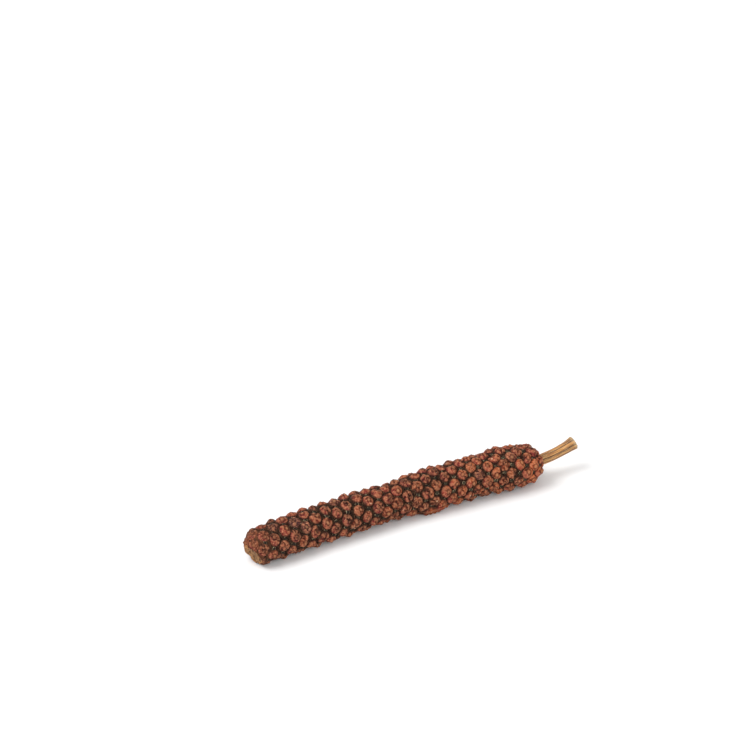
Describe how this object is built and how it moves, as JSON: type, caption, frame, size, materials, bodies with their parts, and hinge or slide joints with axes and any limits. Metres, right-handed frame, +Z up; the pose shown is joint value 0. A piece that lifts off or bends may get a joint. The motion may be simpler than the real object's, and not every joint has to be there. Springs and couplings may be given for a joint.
{
  "type": "long pepper",
  "caption": "Dried long pepper lying on its side: a slim, gently bowed spike of small fused berries with a short ridged stalk at its thicker end.",
  "frame": {"origin": "middle of the bottom of the box round the pepper, on the surface it lies on", "axes": "+X along the pepper from its blunt tip to its stalk, +Z up from the surface it lies on"},
  "size_m": [0.0536, 0.0068, 0.0062],
  "materials": {
    "dried_berries": "dull wrinkled skin, brick red to maroon, with dark hollows between the berries",
    "dried_stalk": "matt golden tan with lengthwise ridges and a pale cut end"
  },
  "bodies": {
    "root": {"fruit_spike": "dried_berries", "stalk": "dried_stalk"}
  },
  "joints": []
}
